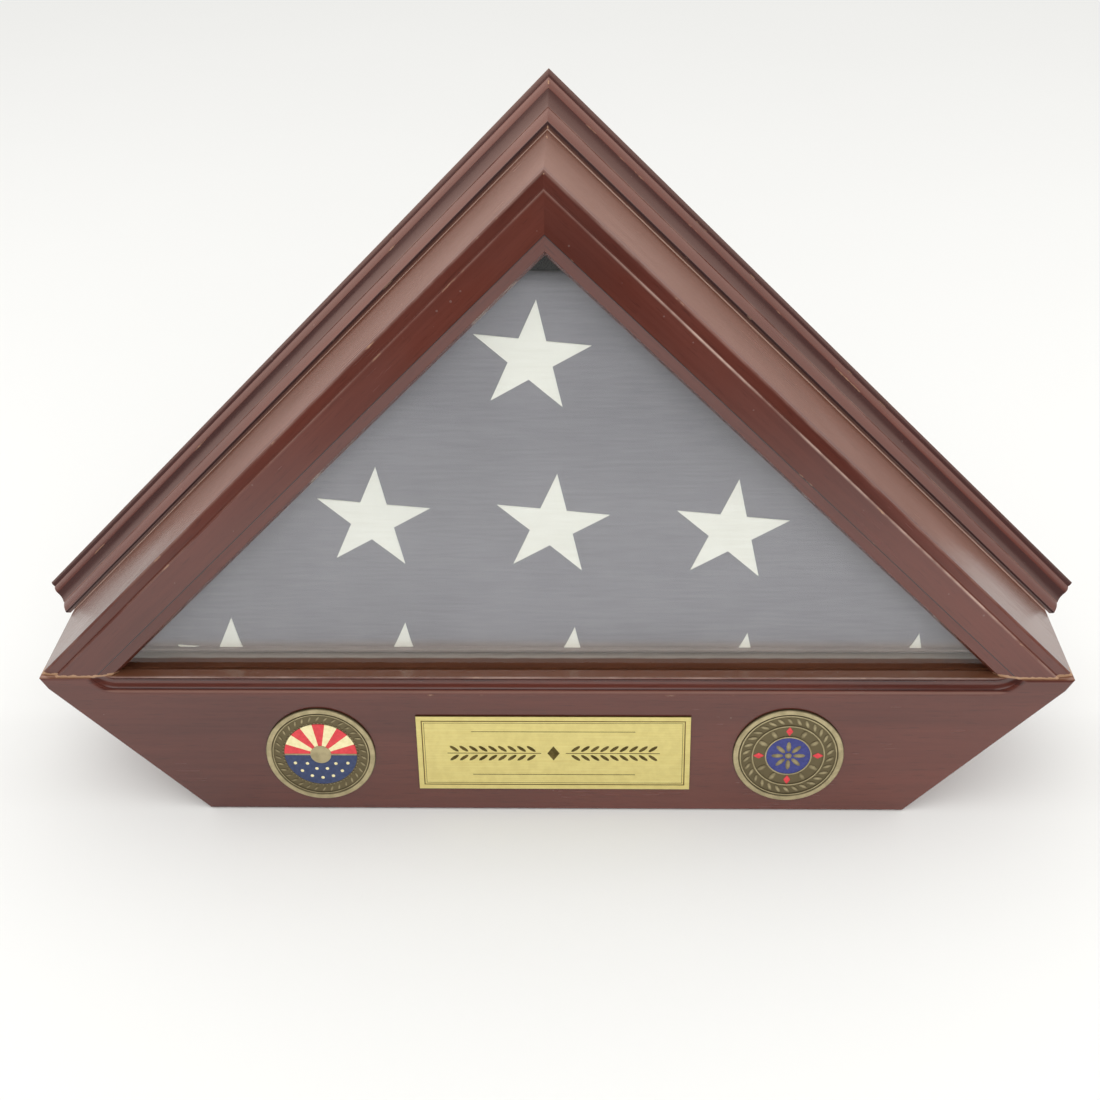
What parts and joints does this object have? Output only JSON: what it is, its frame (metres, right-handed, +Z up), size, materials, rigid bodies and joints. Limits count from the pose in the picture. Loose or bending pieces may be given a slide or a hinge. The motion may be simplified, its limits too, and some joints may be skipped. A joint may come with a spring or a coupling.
{
  "type": "folded flag display case",
  "caption": "Triangular glazed wooden display case on a bevelled base, holding a folded flag, with medallions and a plate on the front and a hinged back door.",
  "frame": {"origin": "bottom centre of the case, on the plane it stands on, midway between the front of the medallions and the back of the crown moulding", "axes": "+Z up, +X to the viewer's right as seen from the front, +Y to the back"},
  "size_m": [0.4448, 0.0812, 0.2844],
  "materials": {
    "mahogany": "satin lacquer, worn light on the edges",
    "raw_wood": "bare",
    "glass": "clear, lightly dusty",
    "flag_cloth": "woven cotton, faded navy with white stars",
    "felt": "black felt",
    "magnet": "dark plated",
    "antique_brass": "struck, antiqued, enamel filled",
    "bright_brass": "brushed, engraved lines",
    "hinge_brass": "satin",
    "plated_steel": "zinc plated"
  },
  "bodies": {
    "case": {"base_front": "mahogany", "base_back": "mahogany", "base_left_side": "mahogany", "base_right_side": "mahogany", "base_bottom": "mahogany", "base_glue_blocks": "raw_wood", "case_floor": "mahogany", "left_side_board": "mahogany", "right_side_board": "mahogany", "left_front_rail": "mahogany", "right_front_rail": "mahogany", "left_crown_moulding": "mahogany", "right_crown_moulding": "mahogany", "side_dowels": "raw_wood", "rail_dowels": "raw_wood", "left_glass_stop": "mahogany", "right_glass_stop": "mahogany", "stop_brads": "plated_steel", "glass_pane": "glass", "folded_flag": "flag_cloth", "apex_block": "mahogany", "catch_magnet": "magnet", "left_medallion": "antique_brass", "right_medallion": "antique_brass", "name_plate": "bright_brass", "left_hinge_base_leaf": "hinge_brass", "right_hinge_base_leaf": "hinge_brass", "left_hinge_pin": "hinge_brass", "right_hinge_pin": "hinge_brass", "hinge_base_screws": "hinge_brass"},
    "back_door": {"back_panel": "mahogany", "door_lining": "felt", "left_hinge_door_leaf": "hinge_brass", "right_hinge_door_leaf": "hinge_brass", "hinge_door_screws": "hinge_brass", "strike_plate": "plated_steel", "strike_screws": "plated_steel", "door_knob": "hinge_brass", "knob_screw": "plated_steel"}
  },
  "joints": [
    {"name": "door_hinge", "type": "hinge", "parent": "case", "child": "back_door", "pos_m": [0, 0.03685, 0.0643], "axis": [-1, 0, 0], "range_deg": [0, 105]}
  ]
}
